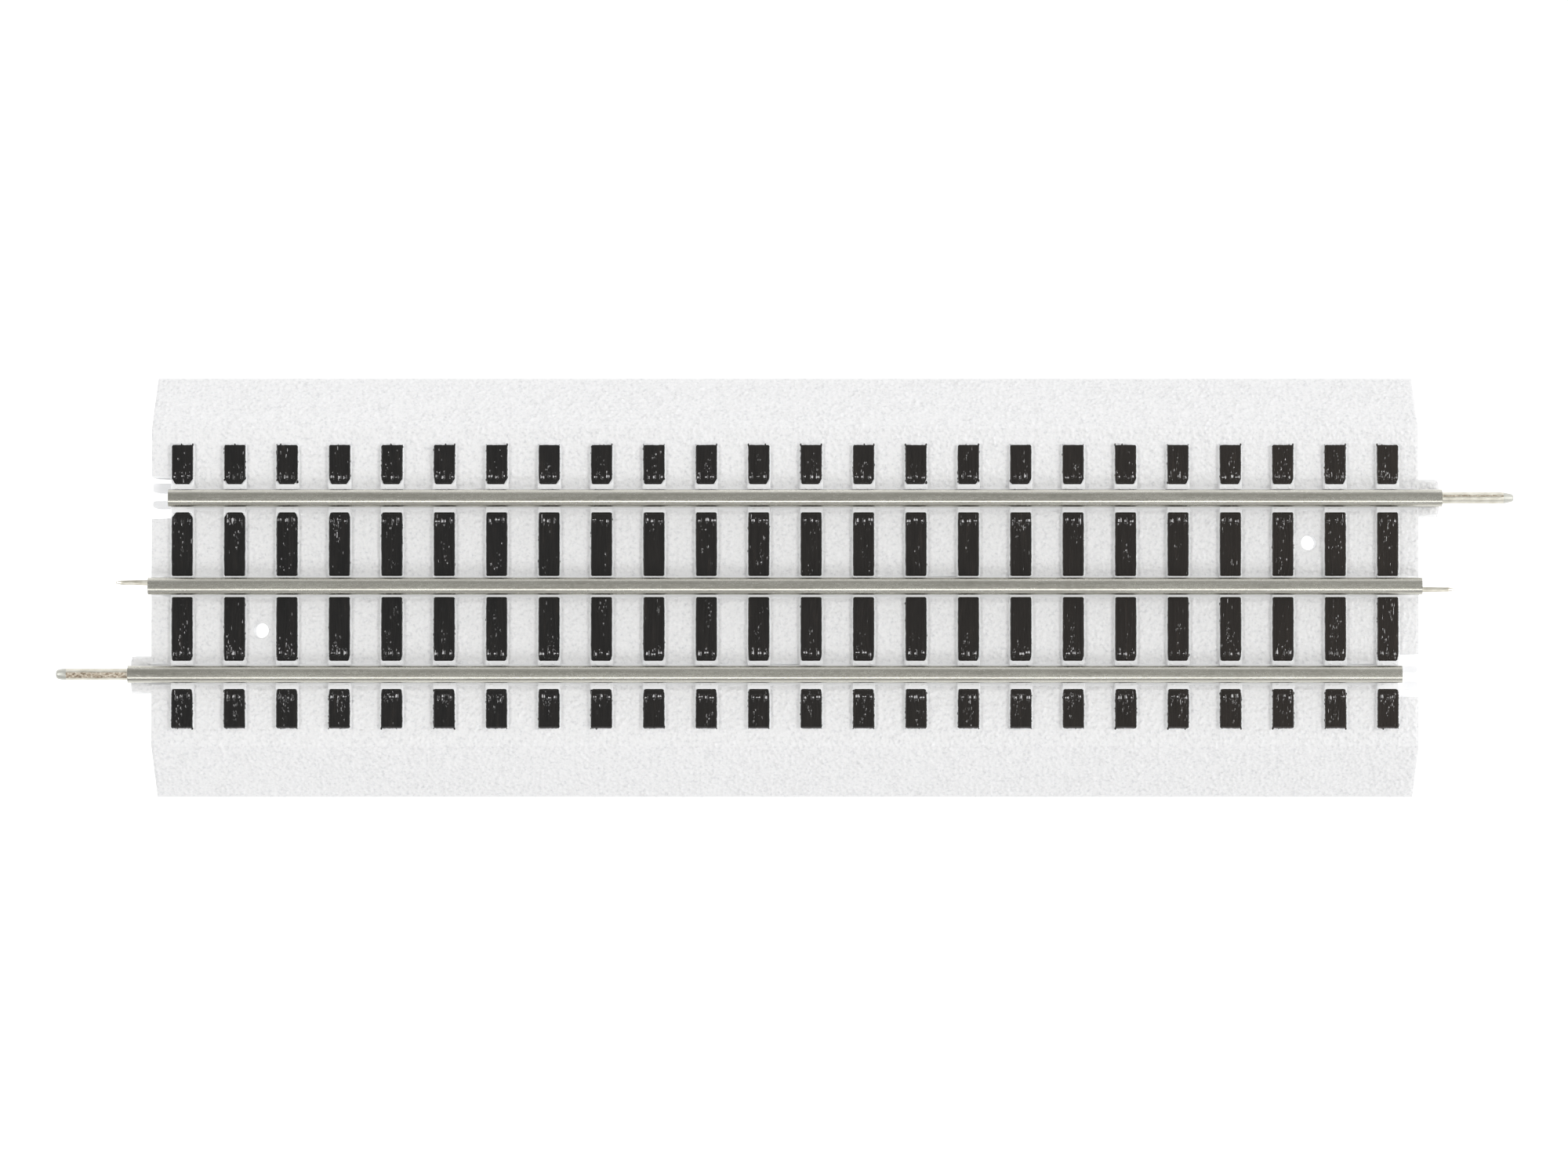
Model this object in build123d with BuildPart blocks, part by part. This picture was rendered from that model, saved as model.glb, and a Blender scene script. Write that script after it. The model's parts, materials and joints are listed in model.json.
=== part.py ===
from build123d import *
from math import hypot
import os

os.makedirs("parts", exist_ok=True)

# A straight snap-together section of three-rail O gauge track, in millimetres.
# +X runs along the track, +Z is up, and the origin is on the table under the middle of the section.
# The section is the same after half a turn about Z, so each end feature is drawn for the east end
# and drawn again on a plane turned by half a turn.

# Roadbed
section_length = 254.0      # end wall to end wall, ten inches
base_width = 84.8
deck_width = 63.6
deck_height = 11.7
lip_height = 0.8            # upright edge at the foot of each shoulder
wall = 1.8
rib_depth = 3.1             # ribs hang this far below the underside of the deck
rib_width = 1.4
rib_y = 8.8                 # the two long ribs, which the screw holes stand on
cross_ribs = (-84.0, -52.5, -21.0, 21.0, 52.5, 84.0)

# Ties
tie_count = 24
tie_pitch = 10.5
tie_width = 4.3
tie_rise = 1.0              # top of a tie above the deck
inner_face = (2.1, 14.9)    # the black face between the centre rail and a running rail
outer_face = (20.5, 28.4)   # the black face outside a running rail
face_cut = (0.55, 1.25)     # corners cut off the outer face beside the rail, along X and Y

# Low smooth bed that runs along under each rail
bed_width = 4.2
bed_rise = 0.5

# Rails: folded sheet with a hollow head, a doubled web and a foot
gauge = 31.75               # between the heads of the running rails
rail_length = 253.8
rail_shift = 4.0            # each running rail stands out past the end wall on its pin's side
rail_top = 19.0
head_width = 3.4
head_height = 3.2
head_round = 0.8
sheet = 0.4
foot_width = 3.3            # hidden under the head
tab_length = 4.0
tab_fold = 2.6              # how far a tab is folded over under the deck
running_tabs = (-115.5, -63.0, 0.0, 63.0, 115.5)
centre_tabs = (-94.5, -31.5, 31.5, 94.5)
slot_clearance = 0.1

# Round pins of the running rails
pin_radius = 1.15
pin_wall = 0.35
pin_free = 14.3             # length that stands out of the rail
pin_taper = 1.9
pin_tip_radius = 0.6
pin_held = 10.0             # length pressed into the rail
seam_width = 0.3

# Blade pins of the centre rail
blade_width = 1.05
blade_height = 2.0
blade_free = 6.4
blade_held = 8.0
blade_offset = 0.69         # each blade stands beside the rail's middle, so two of them pass
blade_nose = 1.2
blade_tip_width = 0.42

# Tongue and fork socket, centred a little outside the running rail
joint_y = 17.75
tongue_length = 4.1
tongue_width = 7.6
tongue_wall = 0.6
tongue_roof = 1.7
tongue_round = 1.2          # its corners, seen from above
socket_depth = 4.2
socket_width = 7.9
socket_flare = 0.2          # each side of the socket opens out by this much at its mouth
socket_wall = 1.5
fork_sides = (15.8, 20.8)
fork_gap = (17.25, 18.95)
fork_top = 9.7
fork_round = 0.6            # corners of the fork's prongs
fork_root = 0.6             # solid stretch behind the gap between the prongs
joint_bottom = 3.0          # lowest point of the tongue and of the fork

# Screw holes
hole_place = (105.0, 8.8)
hole_radius = 1.5
boss_radius = 3.6
pad_radius = 3.1            # smooth round pad that the hole stands in
pad_depth = 0.2

# Jumper straps and wire terminals
strap_width = 6.0
strap_room = 1.0            # how much wider its channel through a rib is
strap_places = (-63.0, 63.0)
terminal_x = {"north": 0.0, "centre": 31.5, "south": 0.0}
plate_side = 5.4
spade_width = 2.8
spade_length = 7.0
spade_drop = 1.4
spade_corner = 0.56

# Worked-out places
deck_under = deck_height - wall
tie_top = deck_height + tie_rise
running_y = (gauge + head_width) / 2
hollow_width = head_width - 2 * sheet
hollow_height = head_height - 2 * sheet
hollow_z = rail_top - head_height / 2
tie_places = [(i - (tie_count - 1) / 2) * tie_pitch for i in range(tie_count)]
half_turns = (0, 180)
rib_bottom = deck_under - rib_depth
rail_end = rail_length / 2
socket_end = section_length / 2 - socket_depth
slot_width = 2 * sheet + 2 * slot_clearance
slot_length = tab_length + 2 * slot_clearance


def turned(turn, height):
    """A level plane at a height, turned about Z."""
    return Plane.XY.rotated((0, 0, turn)).offset(height)


def across(x):
    """A plane across the track at x, with its own x along Y and its own y up."""
    return Plane.YZ.offset(x)


# Roadbed: a hollow moulding, open underneath
slope_run = (base_width - deck_width) / 2
slope_rise = deck_height - lip_height
wall_sideways = wall * hypot(slope_run, slope_rise) / slope_rise
shoulder_at_under = deck_width / 2 + wall * slope_run / slope_rise - wall_sideways
foot_inside = base_width / 2 - wall_sideways

with BuildPart() as roadbed:
    with BuildSketch(across(-section_length / 2)):
        with BuildLine():
            Polyline(
                (-base_width / 2, 0), (base_width / 2, 0), (base_width / 2, lip_height),
                (deck_width / 2, deck_height), (-deck_width / 2, deck_height),
                (-base_width / 2, lip_height), close=True,
            )
        make_face()
    extrude(amount=section_length)

    with BuildSketch(across(-section_length / 2 + wall)):
        with BuildLine():
            Polyline(
                (-foot_inside, 0), (foot_inside, 0), (foot_inside, lip_height),
                (shoulder_at_under, deck_under), (-shoulder_at_under, deck_under),
                (-foot_inside, lip_height), close=True,
            )
        make_face()
    extrude(amount=section_length - 2 * wall, mode=Mode.SUBTRACT)

    # Ribs and screw bosses under the deck
    with BuildSketch(Plane.XY.offset(rib_bottom)):
        with Locations((0, -rib_y), (0, rib_y)):
            Rectangle(section_length - wall, rib_width)
        with Locations(*[(x, 0) for x in cross_ribs]):
            Rectangle(rib_width, deck_width)
        with Locations((hole_place[0], hole_place[1]), (-hole_place[0], -hole_place[1])):
            Circle(boss_radius)
    extrude(amount=rib_depth)

    # Channels through the long ribs for the jumper straps
    with BuildSketch(Plane.XY.offset(rib_bottom)):
        with Locations(*[(x, 0) for x in strap_places]):
            Rectangle(strap_width + strap_room, 2 * rib_y + 2 * rib_width)
    extrude(amount=rib_depth, mode=Mode.SUBTRACT)

    # Rail beds, and tie plates: the white stretches of each tie under the rails
    with BuildSketch(Plane.XY.offset(deck_height)):
        with Locations((0, -running_y), (0, 0), (0, running_y)):
            Rectangle(section_length, bed_width)
    extrude(amount=bed_rise)
    with BuildSketch(Plane.XY.offset(deck_height)):
        with Locations(*[(x, 0) for x in tie_places]):
            Rectangle(tie_width, 2 * inner_face[0])
        plate_middle = (inner_face[1] + outer_face[0]) / 2
        with Locations(*[(x, side * plate_middle) for x in tie_places for side in (-1, 1)]):
            Rectangle(tie_width, outer_face[0] - inner_face[1])
    extrude(amount=tie_rise)

    for turn in half_turns:
        # Socket: a pocket in the end wall, with a fork standing in it
        with BuildSketch(turned(turn, 0)):
            with Locations((section_length / 2 - (socket_depth + socket_wall) / 2, -joint_y)):
                Rectangle(socket_depth + socket_wall, socket_width + 2 * socket_wall)
        extrude(amount=deck_height)
        with BuildSketch(turned(turn, 0)):
            with BuildLine():
                Polyline(
                    (socket_end, -joint_y - socket_width / 2),
                    (section_length / 2, -joint_y - socket_width / 2 - socket_flare),
                    (section_length / 2, -joint_y + socket_width / 2 + socket_flare),
                    (socket_end, -joint_y + socket_width / 2),
                    close=True,
                )
            make_face()
        extrude(amount=tie_top, mode=Mode.SUBTRACT)
        with BuildSketch(turned(turn, joint_bottom)):
            fork_middle = (fork_sides[0] + fork_sides[1]) / 2
            with Locations((section_length / 2 - socket_depth / 2, -fork_middle)):
                Rectangle(socket_depth, fork_sides[1] - fork_sides[0])
            gap_middle = (fork_gap[0] + fork_gap[1]) / 2
            with Locations((section_length / 2, -gap_middle)):
                SlotOverall(2 * (socket_depth - fork_root), fork_gap[1] - fork_gap[0], mode=Mode.SUBTRACT)
            fillet(vertices().group_by(Axis.X)[-1], fork_round)
        extrude(amount=fork_top - joint_bottom)

        # Tongue: a hood that slides over the next section's fork
        with BuildSketch(turned(turn, joint_bottom)):
            with Locations((section_length / 2, joint_y)):
                RectangleRounded(2 * tongue_length, tongue_width, tongue_round)
            with Locations((section_length / 2 - tongue_length, joint_y)):
                Rectangle(2 * tongue_length, 2 * tongue_width, mode=Mode.SUBTRACT)
        extrude(amount=deck_height - joint_bottom)
        with BuildSketch(turned(turn, joint_bottom)):
            with Locations((section_length / 2 + tongue_length / 2, joint_y)):
                Rectangle(tongue_length, tongue_width - 2 * tongue_wall)
        extrude(amount=deck_height - tongue_roof - joint_bottom, mode=Mode.SUBTRACT)

        # Screw hole in its shallow round pad
        with BuildSketch(turned(turn, deck_height - pad_depth)):
            with Locations(hole_place):
                Circle(pad_radius)
        extrude(amount=pad_depth, mode=Mode.SUBTRACT)
        with BuildSketch(turned(turn, 0)):
            with Locations(hole_place):
                Circle(hole_radius)
        extrude(amount=deck_height, mode=Mode.SUBTRACT)

    # Slots for the rails' tabs
    with BuildSketch(Plane.XY.offset(rib_bottom)):
        with Locations(*[(x, side * running_y) for x in running_tabs for side in (-1, 1)]):
            Rectangle(slot_length, slot_width)
        with Locations(*[(x, 0) for x in centre_tabs]):
            Rectangle(slot_length, slot_width)
    extrude(amount=deck_height + bed_rise - rib_bottom, mode=Mode.SUBTRACT)

roadbed.part.label = "roadbed"
export_step(roadbed.part, "parts/roadbed.step")


# Rails: name, middle line, shift along the track, tabs, tabs that clamp a strap or terminal, fold side
rails = (
    ("rail_north", running_y, rail_shift, running_tabs, (*strap_places, terminal_x["north"]), 1),
    ("rail_centre", 0.0, 0.0, centre_tabs, (terminal_x["centre"],), 1),
    ("rail_south", -running_y, -rail_shift, running_tabs, (*strap_places, terminal_x["south"]), -1),
)
web_height = rail_top - head_height - tie_top

for name, rail_y, shift, tabs, clamping_tabs, fold_side in rails:
    with BuildPart() as rail:
        with BuildSketch(across(shift - rail_end)):
            with Locations((rail_y, hollow_z)):
                RectangleRounded(head_width, head_height, head_round)
            with Locations((rail_y, tie_top + sheet / 2)):
                Rectangle(foot_width, sheet)
            with Locations((rail_y, tie_top + (web_height + sheet) / 2)):
                Rectangle(2 * sheet, web_height + sheet)
            with Locations((rail_y, hollow_z)):
                RectangleRounded(hollow_width, hollow_height, head_round - sheet, mode=Mode.SUBTRACT)
        extrude(amount=rail_length)
        for x in tabs:
            fold_top = deck_under - sheet if x in clamping_tabs else deck_under
            fold_bottom = fold_top - 2 * sheet
            with BuildSketch(Plane.XY.offset(fold_bottom)):
                with Locations((x, rail_y)):
                    Rectangle(tab_length, 2 * sheet)
            extrude(amount=tie_top - fold_bottom)
            with BuildSketch(Plane.XY.offset(fold_bottom)):
                with Locations((x, rail_y + fold_side * (tab_fold / 2 - sheet))):
                    Rectangle(tab_length, tab_fold)
            extrude(amount=2 * sheet)
    rail.part.label = name
    export_step(rail.part, f"parts/{name}.step")

# Round pins: rolled sheet with its seam on top, coined square where the rail holds it
for name, side in (("pin_east", 1), ("pin_west", -1)):
    mouth = Plane(
        origin=(side * (rail_end + rail_shift), side * running_y, hollow_z),
        x_dir=(0, side, 0),
        z_dir=(side, 0, 0),
    )
    with BuildPart() as pin:
        with BuildSketch(mouth):
            RectangleRounded(hollow_width, hollow_height, head_round - sheet)
        extrude(amount=-pin_held)
        with BuildSketch(mouth):
            Circle(pin_radius)
        extrude(amount=pin_free - pin_taper)
        with BuildSketch(mouth.offset(pin_free - pin_taper)):
            Circle(pin_radius)
        with BuildSketch(mouth.offset(pin_free)):
            Circle(pin_tip_radius)
        loft()
        with BuildSketch(mouth.offset(-pin_held)):
            Circle(pin_radius - pin_wall)
            with Locations((0, pin_radius)):
                Rectangle(seam_width, 2 * pin_radius)
        extrude(amount=pin_held + pin_free - pin_taper, mode=Mode.SUBTRACT)
    pin.part.label = name
    export_step(pin.part, f"parts/{name}.step")

# Blade pins: flat strips that stand beside the centre rail's middle
for name, side in (("blade_east", 1), ("blade_west", -1)):
    blade_y = -blade_offset
    tip = rail_end + blade_free
    mouth = Plane(origin=(side * rail_end, 0, hollow_z), x_dir=(0, side, 0), z_dir=(side, 0, 0))
    with BuildPart() as blade:
        with BuildSketch(mouth):
            RectangleRounded(hollow_width, hollow_height, head_round - sheet)
            with Locations((blade_y, 0)):
                Rectangle(blade_width, hollow_height, mode=Mode.INTERSECT)
        extrude(amount=-blade_held)
        with BuildSketch(turned(90 - side * 90, hollow_z - blade_height / 2)):
            with BuildLine():
                Polyline(
                    (rail_end, blade_y - blade_width / 2),
                    (tip - blade_nose, blade_y - blade_width / 2),
                    (tip, blade_y - blade_tip_width / 2),
                    (tip, blade_y + blade_tip_width / 2),
                    (tip - blade_nose, blade_y + blade_width / 2),
                    (rail_end, blade_y + blade_width / 2),
                    close=True,
                )
            make_face()
        extrude(amount=blade_height)
    blade.part.label = name
    export_step(blade.part, f"parts/{name}.step")

# Jumper straps: each joins the two running rails under the deck, clamped by their tabs
for name, strap_x in zip(("jumper_west", "jumper_east"), strap_places):
    with BuildPart() as jumper:
        with BuildSketch(Plane.XY.offset(deck_under - sheet)):
            with Locations((strap_x, 0)):
                Rectangle(strap_width, 2 * (running_y + tab_fold))
            with Locations((strap_x, -running_y), (strap_x, running_y)):
                Rectangle(slot_length, slot_width, mode=Mode.SUBTRACT)
        extrude(amount=sheet)
    jumper.part.label = name
    export_step(jumper.part, f"parts/{name}.step")

# Wire terminals: a slotted plate clamped by a tab, stepped down to a spade
terminal_y = {"north": running_y, "centre": 0.0, "south": -running_y}

for place, plate_x in terminal_x.items():
    plate_y = terminal_y[place]
    step_x = plate_x + plate_side / 2
    spade_top = deck_under - spade_drop
    with BuildPart() as terminal:
        with BuildSketch(Plane.XY.offset(deck_under - sheet)):
            with Locations((plate_x, plate_y)):
                Rectangle(plate_side, plate_side)
                Rectangle(slot_length, slot_width, mode=Mode.SUBTRACT)
        extrude(amount=sheet)
        with BuildSketch(Plane.XY.offset(spade_top - sheet)):
            with Locations((step_x - sheet / 2, plate_y)):
                Rectangle(sheet, spade_width)
        extrude(amount=spade_drop)
        with BuildSketch(Plane.XY.offset(spade_top - sheet)):
            with Locations((step_x + spade_length / 2 - sheet, plate_y)):
                Rectangle(spade_length, spade_width)
            chamfer(vertices().group_by(Axis.X)[-1], spade_corner)
        extrude(amount=sheet)
    terminal.part.label = f"terminal_{place}"
    export_step(terminal.part, f"parts/terminal_{place}.step")

# Ties: the four black faces of each, as separate blocks on the deck
for number, tie_x in enumerate(tie_places, start=1):
    with BuildPart() as tie:
        with BuildSketch(Plane.XY.offset(deck_height)):
            inner_length = inner_face[1] - inner_face[0]
            with Locations(*[(tie_x, side * (inner_face[0] + inner_length / 2)) for side in (-1, 1)]):
                Rectangle(tie_width, inner_length)
            for side in (-1, 1):
                with BuildLine():
                    Polyline(
                        (tie_x - tie_width / 2, side * outer_face[1]),
                        (tie_x - tie_width / 2, side * (outer_face[0] + face_cut[1])),
                        (tie_x - tie_width / 2 + face_cut[0], side * outer_face[0]),
                        (tie_x + tie_width / 2 - face_cut[0], side * outer_face[0]),
                        (tie_x + tie_width / 2, side * (outer_face[0] + face_cut[1])),
                        (tie_x + tie_width / 2, side * outer_face[1]),
                        close=True,
                    )
                make_face()
        extrude(amount=tie_rise)
    tie.part.label = f"tie_{number:02d}"
    export_step(tie.part, f"parts/tie_{number:02d}.step")
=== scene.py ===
import bmesh
import bpy
import json
import math
import random
from mathutils import Matrix, Vector, noise


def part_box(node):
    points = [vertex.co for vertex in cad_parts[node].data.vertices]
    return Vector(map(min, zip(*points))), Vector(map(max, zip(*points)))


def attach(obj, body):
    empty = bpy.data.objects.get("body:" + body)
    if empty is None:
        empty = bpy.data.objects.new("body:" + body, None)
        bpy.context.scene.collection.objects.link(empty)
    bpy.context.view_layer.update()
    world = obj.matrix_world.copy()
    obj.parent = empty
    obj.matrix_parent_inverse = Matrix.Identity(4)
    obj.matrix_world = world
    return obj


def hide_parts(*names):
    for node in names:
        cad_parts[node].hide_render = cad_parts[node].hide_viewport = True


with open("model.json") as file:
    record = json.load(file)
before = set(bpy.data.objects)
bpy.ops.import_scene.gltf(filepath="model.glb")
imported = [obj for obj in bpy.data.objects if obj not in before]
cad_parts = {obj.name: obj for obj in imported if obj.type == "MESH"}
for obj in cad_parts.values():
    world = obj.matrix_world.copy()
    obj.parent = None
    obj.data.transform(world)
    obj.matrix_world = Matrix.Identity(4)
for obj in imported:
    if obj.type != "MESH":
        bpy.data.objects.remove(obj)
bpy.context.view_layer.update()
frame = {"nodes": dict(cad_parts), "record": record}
mm = 0.001
random.seed(24)
print("frame loaded")


# places, read from the CAD frame, in millimetres
def boxOf(node):
    low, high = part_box(node)
    return Vector(low) / mm, Vector(high) / mm


bedHigh = boxOf("roadbed")[1]
tieLow, tieHigh = boxOf("tie_01")
tieCount = sum(name.startswith("tie_") for name in frame["nodes"])
tieXs = [sum(c[0] for c in boxOf(f"tie_{i + 1:02d}")) / 2 for i in range(tieCount)]
mounts = {m["name"]: Vector(m["pos_m"]) / mm for m in frame["record"]["mounts"]}
holeSpots = [mounts["screw_hole_east"], mounts["screw_hole_west"]]
deckTop = tieLow.z
tieTop = tieHigh.z
railTop = boxOf("rail_centre")[1].z
runningY = mounts["pin_east"].y
railMiddleZ = mounts["pin_east"].z
railYs = (-runningY, 0.0, runningY)
endX = -mounts["fork_socket_west"].x
tieWidth = tieHigh.x - tieLow.x
tiePitch = tieXs[1] - tieXs[0]
forkSpots = [mounts["fork_socket_east"], mounts["fork_socket_west"]]
print("end wall", endX, "deck", deckTop, "tie top", tieTop, "rail top", railTop)


# materials
def newMaterial(name):
    material = bpy.data.materials.new(name)
    material.use_nodes = True
    nodes = material.node_tree.nodes
    return material, nodes, material.node_tree.links, nodes["Principled BSDF"]


def objectNoise(nodes, links, scale, detail=4.0, rough=0.5, stretch=(1, 1, 1)):
    coords = nodes.new("ShaderNodeTexCoord")
    mapping = nodes.new("ShaderNodeMapping")
    mapping.inputs["Scale"].default_value = stretch
    texture = nodes.new("ShaderNodeTexNoise")
    texture.inputs["Scale"].default_value = scale
    texture.inputs["Detail"].default_value = detail
    texture.inputs["Roughness"].default_value = rough
    links.new(coords.outputs["Object"], mapping.inputs["Vector"])
    links.new(mapping.outputs["Vector"], texture.inputs["Vector"])
    return texture


def ramp(nodes, links, source, stops):
    node = nodes.new("ShaderNodeValToRGB")
    elements = node.color_ramp.elements
    while len(elements) < len(stops):
        elements.new(0.5)
    for element, (place, colour) in zip(elements, stops):
        element.position = place
        element.color = (*colour, 1)
    links.new(source, node.inputs["Fac"])
    return node


def addBump(nodes, links, shader, height, strength, distance):
    bump = nodes.new("ShaderNodeBump")
    bump.inputs["Strength"].default_value = strength
    bump.inputs["Distance"].default_value = distance
    links.new(height, bump.inputs["Height"])
    links.new(bump.outputs["Normal"], shader.inputs["Normal"])


def mapRange(nodes, links, source, low, high):
    node = nodes.new("ShaderNodeMapRange")
    node.inputs["To Min"].default_value = low
    node.inputs["To Max"].default_value = high
    links.new(source, node.inputs["Value"])
    return node.outputs["Result"]


def makeSnowPlastic():
    material, nodes, links, shader = newMaterial("snowPlastic")
    tone = objectNoise(nodes, links, 1500, 3, 0.65)
    colours = ramp(nodes, links, tone.outputs["Fac"], [
        (0.30, (0.64, 0.643, 0.655)), (0.46, (0.765, 0.765, 0.768)), (0.75, (0.82, 0.818, 0.818)),
    ])
    links.new(colours.outputs["Color"], shader.inputs["Base Color"])
    gloss = objectNoise(nodes, links, 350, 2)
    links.new(mapRange(nodes, links, gloss.outputs["Fac"], 0.38, 0.6), shader.inputs["Roughness"])
    coords = nodes.new("ShaderNodeTexCoord")
    grit = nodes.new("ShaderNodeTexVoronoi")
    grit.inputs["Scale"].default_value = 2100
    links.new(coords.outputs["Object"], grit.inputs["Vector"])
    flip = mapRange(nodes, links, grit.outputs["Distance"], 1.0, 0.0)
    addBump(nodes, links, shader, flip, 0.38, 0.00014)
    return material


def makeSmoothPlastic():
    material, nodes, links, shader = newMaterial("smoothPlastic")
    tone = objectNoise(nodes, links, 260, 3)
    # the same white plastic as the ballast, but smooth; its white is set lighter to offset the shade that
    # falls in the deep socket pockets: painted light
    colours = ramp(nodes, links, tone.outputs["Fac"], [
        (0.3, (0.88, 0.885, 0.895)), (0.7, (0.91, 0.913, 0.92)),
    ])
    links.new(colours.outputs["Color"], shader.inputs["Base Color"])
    gloss = objectNoise(nodes, links, 500, 2)
    links.new(mapRange(nodes, links, gloss.outputs["Fac"], 0.25, 0.42), shader.inputs["Roughness"])
    fine = objectNoise(nodes, links, 1500, 3)
    addBump(nodes, links, shader, fine.outputs["Fac"], 0.12, 0.0001)
    return material


def makeTieBlack():
    material, nodes, links, shader = newMaterial("tieBlack")
    tone = objectNoise(nodes, links, 420, 4, 0.6, (2.2, 0.35, 1))
    colours = ramp(nodes, links, tone.outputs["Fac"], [
        (0.3, (0.0065, 0.0062, 0.0062)),
        (0.6, (0.011, 0.0100, 0.0095)),
        (0.85, (0.026, 0.021, 0.018)),
    ])
    coords = nodes.new("ShaderNodeTexCoord")
    split = nodes.new("ShaderNodeSeparateXYZ")
    links.new(coords.outputs["Object"], split.inputs["Vector"])
    along = nodes.new("ShaderNodeMapRange")      # the black turns browner and lighter towards the east end
    along.inputs["From Min"].default_value = -0.06
    along.inputs["From Max"].default_value = 0.13
    links.new(split.outputs["X"], along.inputs["Value"])
    brown = nodes.new("ShaderNodeMix")
    brown.data_type = "RGBA"
    brown.blend_type = "ADD"
    brown.inputs[7].default_value = (0.010, 0.0065, 0.004, 1)
    links.new(along.outputs["Result"], brown.inputs["Factor"])
    links.new(colours.outputs["Color"], brown.inputs[6])
    links.new(brown.outputs[2], shader.inputs["Base Color"])
    gloss = objectNoise(nodes, links, 700, 3, 0.5, (1.5, 0.5, 1))
    links.new(mapRange(nodes, links, gloss.outputs["Fac"], 0.06, 0.20), shader.inputs["Roughness"])
    shader.inputs["Specular IOR Level"].default_value = 0.42
    shader.inputs["Coat Weight"].default_value = 0.25
    shader.inputs["Coat Roughness"].default_value = 0.05
    grain = objectNoise(nodes, links, 800, 3, 0.55, (3.0, 0.18, 1))
    addBump(nodes, links, shader, grain.outputs["Fac"], 0.16, 0.0001)
    return material


def makeRailNickel(name, dark, light, rough):
    material, nodes, links, shader = newMaterial(name)
    drawn = objectNoise(nodes, links, 900, 5, 0.6, (0.05, 1.0, 1.0))
    speckle = objectNoise(nodes, links, 2400, 3, 0.7, (0.45, 1, 1))
    both = nodes.new("ShaderNodeMix")
    both.inputs["Factor"].default_value = 0.45
    links.new(drawn.outputs["Fac"], both.inputs["A"])
    links.new(speckle.outputs["Fac"], both.inputs["B"])
    colours = ramp(nodes, links, both.outputs["Result"], [(0.32, dark), (0.68, light)])
    links.new(colours.outputs["Color"], shader.inputs["Base Color"])
    shader.inputs["Metallic"].default_value = 1.0
    links.new(mapRange(nodes, links, both.outputs["Result"], *rough), shader.inputs["Roughness"])
    shader.inputs["Anisotropic"].default_value = 0.3
    addBump(nodes, links, shader, both.outputs["Result"], 0.10, 0.00003)
    return material


def makePinNickel():
    material, nodes, links, shader = newMaterial("pinNickel")
    patch = objectNoise(nodes, links, 700, 4, 0.6, (0.6, 1, 1))
    colours = ramp(nodes, links, patch.outputs["Fac"], [
        (0.3, (0.56, 0.53, 0.45)), (0.55, (0.71, 0.69, 0.61)), (0.8, (0.82, 0.80, 0.74)),
    ])
    links.new(colours.outputs["Color"], shader.inputs["Base Color"])
    shader.inputs["Metallic"].default_value = 1.0
    links.new(mapRange(nodes, links, patch.outputs["Fac"], 0.32, 0.55), shader.inputs["Roughness"])
    fine = objectNoise(nodes, links, 2600, 4, 0.7, (0.4, 1, 1))
    addBump(nodes, links, shader, fine.outputs["Fac"], 0.25, 0.00006)
    return material


def makeShearedEdge():
    material, nodes, links, shader = newMaterial("shearedEdge")
    tone = objectNoise(nodes, links, 2600, 4, 0.7, (0.6, 1, 1))
    colours = ramp(nodes, links, tone.outputs["Fac"], [
        (0.36, (0.20, 0.145, 0.10)), (0.50, (0.47, 0.40, 0.31)), (0.66, (0.80, 0.76, 0.67)),
    ])
    links.new(colours.outputs["Color"], shader.inputs["Base Color"])
    shader.inputs["Metallic"].default_value = 0.7
    links.new(mapRange(nodes, links, tone.outputs["Fac"], 0.35, 0.7), shader.inputs["Roughness"])
    addBump(nodes, links, shader, tone.outputs["Fac"], 0.8, 0.0001)
    return material


def makeFloor():
    material, nodes, links, shader = newMaterial("paleFloor")
    tone = objectNoise(nodes, links, 4, 2)
    colours = ramp(nodes, links, tone.outputs["Fac"], [(0.3, (0.29, 0.29, 0.29)), (0.7, (0.31, 0.31, 0.31))])
    links.new(colours.outputs["Color"], shader.inputs["Base Color"])
    shader.inputs["Roughness"].default_value = 0.9
    shader.inputs["Specular IOR Level"].default_value = 0.0
    shader.inputs["Emission Color"].default_value = (1, 1, 1, 1)
    shader.inputs["Emission Strength"].default_value = 0.95
    return material


snowPlastic = makeSnowPlastic()
smoothPlastic = makeSmoothPlastic()
tieBlack = makeTieBlack()
railNickel = makeRailNickel("railNickel", (0.46, 0.45, 0.40), (0.65, 0.64, 0.58), (0.20, 0.33))
strapSteel = makeRailNickel("strapSteel", (0.52, 0.50, 0.45), (0.70, 0.68, 0.62), (0.25, 0.45))
pinNickel = makePinNickel()
pinTipNickel = makeRailNickel("pinTipNickel", (0.50, 0.50, 0.46), (0.62, 0.62, 0.57), (0.45, 0.6))
shearedEdge = makeShearedEdge()
print("materials made")


# finishing a piece
def finishPiece(bm, name, materials, node, smoothAngle):
    bmesh.ops.scale(bm, vec=(mm, mm, mm), verts=bm.verts)
    mesh = bpy.data.meshes.new(name)
    bm.to_mesh(mesh)
    bm.free()
    piece = bpy.data.objects.new(name, mesh)
    bpy.context.collection.objects.link(piece)
    for material in materials:
        mesh.materials.append(material)
    mesh.shade_smooth()
    mesh.set_sharp_from_angle(angle=math.radians(smoothAngle))
    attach(piece, "root")
    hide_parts(node)
    triangles = sum(len(p.vertices) - 2 for p in mesh.polygons)
    print(f"{name}: {triangles} triangles")


def smoothStep(low, high, value):
    t = min(1.0, max(0.0, (value - low) / (high - low)))
    return t * t * (3 - 2 * t)


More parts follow.
